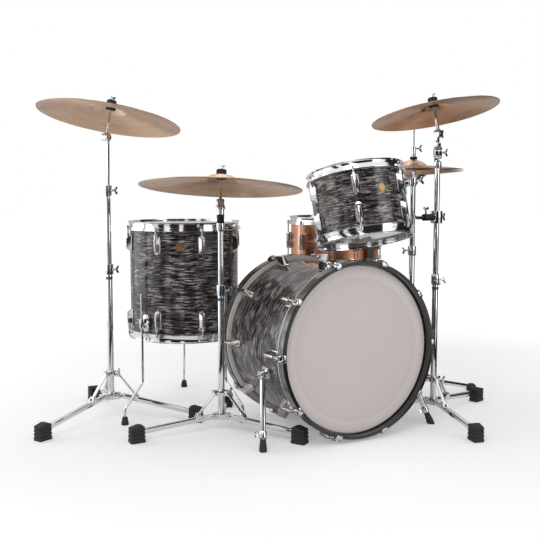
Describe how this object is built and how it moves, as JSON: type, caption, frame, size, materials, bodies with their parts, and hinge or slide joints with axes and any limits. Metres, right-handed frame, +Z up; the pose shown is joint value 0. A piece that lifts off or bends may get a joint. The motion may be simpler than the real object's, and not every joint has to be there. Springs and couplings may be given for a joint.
{
  "type": "acoustic drum kit",
  "caption": "Acoustic drum kit: bass drum on spurs, floor tom on legs, hung rack tom, snare on a stand, crash and ride cymbals on folding stands, and a pedal hi-hat.",
  "frame": {"origin": "on the floor, under the middle of the kit's bounding box", "axes": "+X to the right and +Y away from someone facing the front of the kit, +Z up"},
  "size_m": [1.681, 1.0702, 1.1813],
  "materials": {
    "chrome": "polished",
    "shell_wrap": "ply shell under a dark pearl wrap",
    "head_film": "coated film",
    "black_hoop": "gloss lacquer",
    "bronze": "lathed bronze",
    "copper": "raw spun metal",
    "rubber": "moulded",
    "cast_metal": "cast",
    "steel": "bright wire"
  },
  "bodies": {
    "kit": {"bass_shell": "shell_wrap", "bass_front_head": "head_film", "bass_batter_head": "head_film", "bass_hoops": "black_hoop", "bass_lugs": "chrome", "bass_claws": "chrome", "bass_tension_rods": "chrome", "bass_spur_brackets": "chrome", "floor_tom_shell": "shell_wrap", "floor_tom_heads": "head_film", "floor_tom_hoops": "chrome", "floor_tom_lugs": "chrome", "floor_tom_tension_rods": "chrome", "floor_tom_leg_brackets": "chrome", "left_stand_base": "chrome", "centre_stand_base": "chrome", "right_stand_base": "chrome", "snare_stand_base": "chrome", "hihat_stand_base": "chrome", "stand_feet": "rubber"},
    "spur_left": {"spur_left": "chrome"},
    "spur_right": {"spur_right": "chrome"},
    "leg_left": {"floor_tom_leg_left": "chrome"},
    "leg_right": {"floor_tom_leg_right": "chrome"},
    "leg_rear": {"floor_tom_leg_rear": "chrome"},
    "left_middle": {"left_stand_middle_tube": "chrome"},
    "left_top": {"left_stand_top_rod": "chrome"},
    "left_tilter": {"left_cymbal_tilter": "chrome"},
    "left_cymbal": {"left_cymbal": "bronze"},
    "centre_upper": {"centre_stand_upper_tube": "chrome"},
    "centre_tilter": {"centre_cymbal_tilter": "chrome"},
    "centre_cymbal": {"centre_cymbal": "bronze"},
    "right_upper": {"right_stand_upper_tube": "chrome"},
    "right_boom": {"right_stand_boom": "chrome"},
    "right_tilter": {"right_cymbal_tilter": "chrome"},
    "right_cymbal": {"right_cymbal": "bronze"},
    "tom_clamp": {"tom_clamp": "chrome"},
    "tom_arm": {"tom_arm": "chrome"},
    "rack_tom": {"rack_tom_plate": "chrome", "rack_tom_shell": "shell_wrap", "rack_tom_heads": "head_film", "rack_tom_hoops": "chrome", "rack_tom_lugs": "chrome", "rack_tom_tension_rods": "chrome"},
    "snare_tube": {"snare_stand_tube": "chrome"},
    "snare": {"snare_basket": "chrome", "snare_shell": "copper", "snare_heads": "head_film", "snare_hoops": "chrome", "snare_lugs": "chrome", "snare_tension_rods": "chrome", "snare_strainer": "chrome", "snare_wires": "steel"},
    "throw_off": {"snare_throw_off": "chrome"},
    "hihat_tube": {"hihat_upper_tube": "chrome"},
    "hihat_lower": {"hihat_bottom_cymbal": "bronze"},
    "hihat_rod": {"hihat_pull_rod": "chrome", "hihat_top_cymbal": "bronze"},
    "footboard": {"hihat_footboard": "cast_metal"}
  },
  "joints": [
    {"name": "spur_left_fold", "type": "hinge", "parent": "kit", "child": "spur_left", "pos_m": [-0.04356, -0.38966, 0.2276], "axis": [-0.8513, -0.4601, -0.252], "range_deg": [0, 65]},
    {"name": "spur_right_fold", "type": "hinge", "parent": "kit", "child": "spur_right", "pos_m": [0.46658, -0.11727, 0.2276], "axis": [-0.8559, -0.4515, 0.252], "range_deg": [0, 65]},
    {"name": "leg_left_height", "type": "slide", "parent": "kit", "child": "leg_left", "axis": [0, 0, 1], "range_m": [0, 0.08]},
    {"name": "leg_right_height", "type": "slide", "parent": "kit", "child": "leg_right", "axis": [0, 0, 1], "range_m": [-0.06, 0]},
    {"name": "leg_rear_height", "type": "slide", "parent": "kit", "child": "leg_rear", "axis": [0, 0, 1], "range_m": [-0.06, 0.08]},
    {"name": "left_middle_height", "type": "slide", "parent": "kit", "child": "left_middle", "axis": [0, 0, 1], "range_m": [-0.2, 0.09]},
    {"name": "left_top_height", "type": "slide", "parent": "left_middle", "child": "left_top", "axis": [0, 0, 1], "range_m": [-0.12, 0.09]},
    {"name": "left_tilt", "type": "hinge", "parent": "left_top", "child": "left_tilter", "pos_m": [-0.59724, -0.12364, 1.02], "axis": [-0.7615, 0.6481, 0], "range_deg": [-30, 30]},
    {"name": "left_cymbal_spin", "type": "hinge", "parent": "left_tilter", "child": "left_cymbal", "pos_m": [-0.5816, -0.10527, 1.13449], "axis": [0.1336, 0.157, 0.9785], "continuous": true},
    {"name": "centre_upper_height", "type": "slide", "parent": "kit", "child": "centre_upper", "axis": [0, 0, 1], "range_m": [-0.06, 0.09]},
    {"name": "centre_tilt", "type": "hinge", "parent": "centre_upper", "child": "centre_tilter", "pos_m": [-0.18824, -0.25264, 0.795], "axis": [-0.9641, 0.2656, 0], "range_deg": [-10, 12]},
    {"name": "centre_cymbal_spin", "type": "hinge", "parent": "centre_tilter", "child": "centre_cymbal", "pos_m": [-0.18507, -0.24113, 0.88824], "axis": [0.0337, 0.1225, 0.9919], "continuous": true},
    {"name": "right_upper_height", "type": "slide", "parent": "kit", "child": "right_upper", "axis": [0, 0, 1], "range_m": [-0.01, 0.08]},
    {"name": "right_boom_tilt", "type": "hinge", "parent": "right_upper", "child": "right_boom", "pos_m": [0.58276, -0.08564, 0.967], "axis": [1, 0, 0], "range_deg": [-1, 30]},
    {"name": "right_tilt", "type": "hinge", "parent": "right_boom", "child": "right_tilter", "pos_m": [0.58276, -0.08564, 1.034], "axis": [0.682, 0.7314, 0], "range_deg": [-1, 30]},
    {"name": "right_cymbal_spin", "type": "hinge", "parent": "right_tilter", "child": "right_cymbal", "pos_m": [0.56498, -0.06906, 1.14742], "axis": [-0.1533, 0.143, 0.9778], "continuous": true},
    {"name": "tom_clamp_swing", "type": "hinge", "parent": "right_upper", "child": "tom_clamp", "pos_m": [0.58276, -0.08564, 0.736], "axis": [0, 0, 1], "range_deg": [0, 15]},
    {"name": "tom_arm_reach", "type": "slide", "parent": "tom_clamp", "child": "tom_arm", "axis": [-0.7847, -0.6199, 0], "range_m": [-0.012, 0.015]},
    {"name": "rack_tom_tilt", "type": "hinge", "parent": "tom_arm", "child": "rack_tom", "pos_m": [0.48121, -0.16587, 0.86263], "axis": [0.9792, -0.1236, 0.1612], "range_deg": [-3, 4]},
    {"name": "snare_tube_height", "type": "slide", "parent": "kit", "child": "snare_tube", "axis": [0, 0, 1], "range_m": [-0.003, 0.06]},
    {"name": "snare_tilt", "type": "hinge", "parent": "snare_tube", "child": "snare", "pos_m": [0.24476, 0.30936, 0.446], "axis": [0, 1, 0], "range_deg": [-8, 8]},
    {"name": "throw_off_lever", "type": "hinge", "parent": "snare", "child": "throw_off", "pos_m": [0.11343, 0.45727, 0.60755], "axis": [-0.7478, -0.6639, 0], "range_deg": [0, 70]},
    {"name": "hihat_tube_height", "type": "slide", "parent": "kit", "child": "hihat_tube", "axis": [0, 0, 1], "range_m": [0, 0.04]},
    {"name": "hihat_lower_spin", "type": "hinge", "parent": "hihat_tube", "child": "hihat_lower", "pos_m": [0.53676, 0.15236, 0.905], "axis": [0, 0, 1], "continuous": true},
    {"name": "hihat_rod_pull", "type": "slide", "parent": "hihat_tube", "child": "hihat_rod", "axis": [0, 0, 1], "range_m": [-0.0047, 0], "stiffness_N_per_m": 4000, "springref_m": 0.007},
    {"name": "footboard_press", "type": "hinge", "parent": "kit", "child": "footboard", "pos_m": [0.46781, 0.42889, 0.022], "axis": [0.9703, 0.2419, 0], "range_deg": [0, 0.925]}
  ],
  "couplings": [
    {"joint": "hihat_rod_pull", "follows": "footboard_press", "m_per_rad": -0.285}
  ]
}
